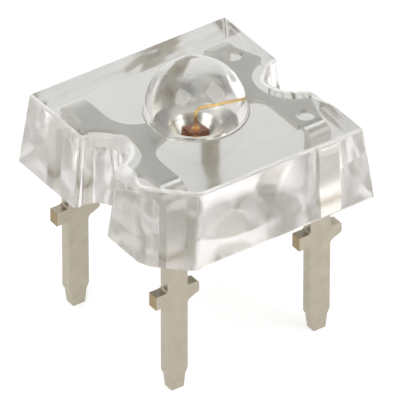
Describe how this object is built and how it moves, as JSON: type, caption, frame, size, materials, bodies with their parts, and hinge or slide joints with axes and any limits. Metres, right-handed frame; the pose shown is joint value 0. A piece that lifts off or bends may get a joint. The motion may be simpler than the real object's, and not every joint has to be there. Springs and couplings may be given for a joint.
{
  "type": "piranha led",
  "caption": "Clear square through-hole LED with a domed lens, scalloped sides, a cut polarity corner and flat stamped leads with stand-off tabs.",
  "frame": {"origin": "on the lens axis, midway between the four leads, in the plane of the lead tips", "axes": "+Z out of the dome, away from the board; -X and +X to the two notched sides; the cut corner is at -X and -Y"},
  "size_m": [0.0074, 0.0074, 0.009],
  "materials": {
    "clear_epoxy": "clear, glossy, water-white epoxy",
    "plated_frame": "satin tin-nickel plate",
    "chip": "polished semiconductor, red-brown",
    "silver_glue": "matt silver-filled glue",
    "gold": "bright gold"
  },
  "bodies": {
    "root": {"lens_body": "clear_epoxy", "cup_frame": "plated_frame", "wire_frame": "plated_frame", "led_chip": "chip", "die_attach": "silver_glue", "bond_wire": "gold"}
  },
  "joints": []
}
